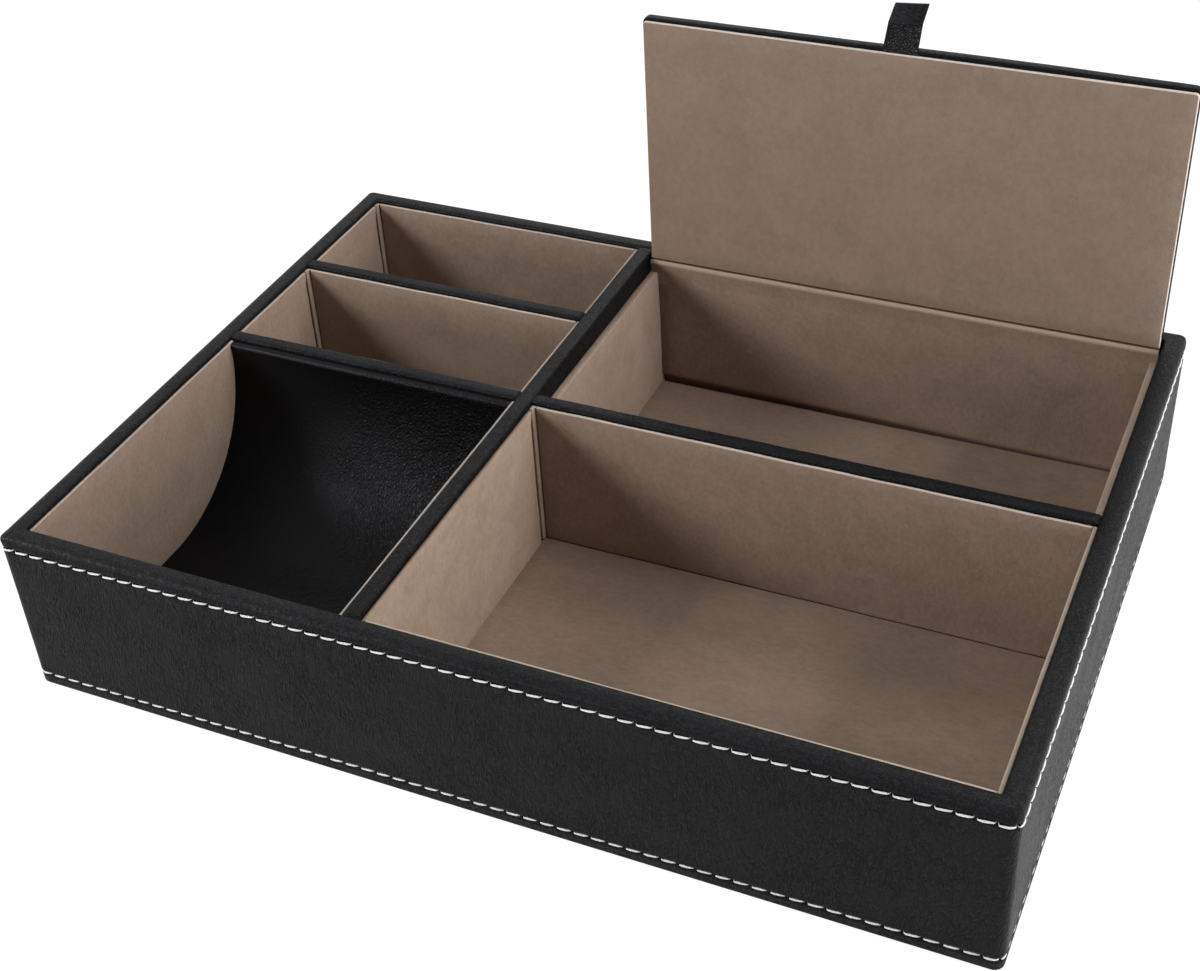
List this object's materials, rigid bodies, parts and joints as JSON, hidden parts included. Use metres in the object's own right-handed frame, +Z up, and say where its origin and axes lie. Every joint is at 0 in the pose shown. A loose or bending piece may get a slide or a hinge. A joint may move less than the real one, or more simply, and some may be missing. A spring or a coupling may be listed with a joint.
{
  "type": "valet box",
  "caption": "Leather-wrapped desktop valet tray with suede-lined compartments, a scooped coin well and a hinged flap lid with a pull tab.",
  "frame": {"origin": "middle of the underside, on the table", "axes": "+X to the right, +Y to the back where the lid is hinged, +Z up"},
  "size_m": [0.3206, 0.2356, 0.1734],
  "materials": {
    "black_leather": "fine pebble grain, satin",
    "scoop_leather": "fine pebble grain, semi-gloss",
    "tab_leather": "smooth, satin",
    "white_thread": "twisted thread",
    "suede": "brushed microsuede",
    "lid_suede": "brushed microsuede",
    "floor_suede": "brushed microsuede",
    "board": "raw fibreboard",
    "base_felt": "pressed felt"
  },
  "bodies": {
    "box": {"back_left_back_liner": "suede", "back_left_floor_liner": "floor_suede", "back_left_front_liner": "suede", "back_left_left_liner": "suede", "back_left_right_liner": "suede", "back_wall_board": "board", "base_board": "board", "base_felt": "base_felt", "bottom_stitching": "white_thread", "centre_divider_board": "board", "centre_divider_leather": "black_leather", "front_wall_board": "board", "left_front_divider_board": "board", "left_front_divider_leather": "black_leather", "left_rear_divider_board": "board", "left_rear_divider_leather": "black_leather", "left_wall_board": "board", "lid_hinge_strip": "suede", "middle_left_back_liner": "suede", "middle_left_floor_liner": "floor_suede", "middle_left_front_liner": "suede", "middle_left_left_liner": "suede", "middle_left_right_liner": "suede", "outer_leather_wrap": "black_leather", "right_back_back_liner": "suede", "right_back_floor_liner": "floor_suede", "right_back_front_liner": "suede", "right_back_left_liner": "suede", "right_back_right_liner": "suede", "right_divider_board": "board", "right_divider_leather": "black_leather", "right_front_back_liner": "suede", "right_front_floor_liner": "floor_suede", "right_front_front_liner": "suede", "right_front_left_liner": "suede", "right_front_right_liner": "suede", "right_wall_board": "board", "scoop_card": "board", "scoop_leather": "scoop_leather", "top_stitching": "white_thread", "well_left_liner": "suede", "well_right_liner": "suede"},
    "lid": {"lid_board": "board", "lid_leather_cover": "black_leather", "lid_suede_panel": "lid_suede"},
    "tab": {"pull_tab": "tab_leather"}
  },
  "joints": [
    {"name": "lid_hinge", "type": "hinge", "parent": "box", "child": "lid", "pos_m": [0.0596, 0.1089, 0.0582], "axis": [1, 0, 0], "range_deg": [-5, 90], "deforming": ["lid_hinge_strip"]},
    {"name": "tab_flex", "type": "hinge", "parent": "lid", "child": "tab", "pos_m": [0.0584, 0.1071, 0.1563], "axis": [1, 0, 0], "range_deg": [-90, 5]}
  ],
  "couplings": [
    {"joint": "tab_flex", "follows": "lid_hinge", "ratio": -1}
  ]
}
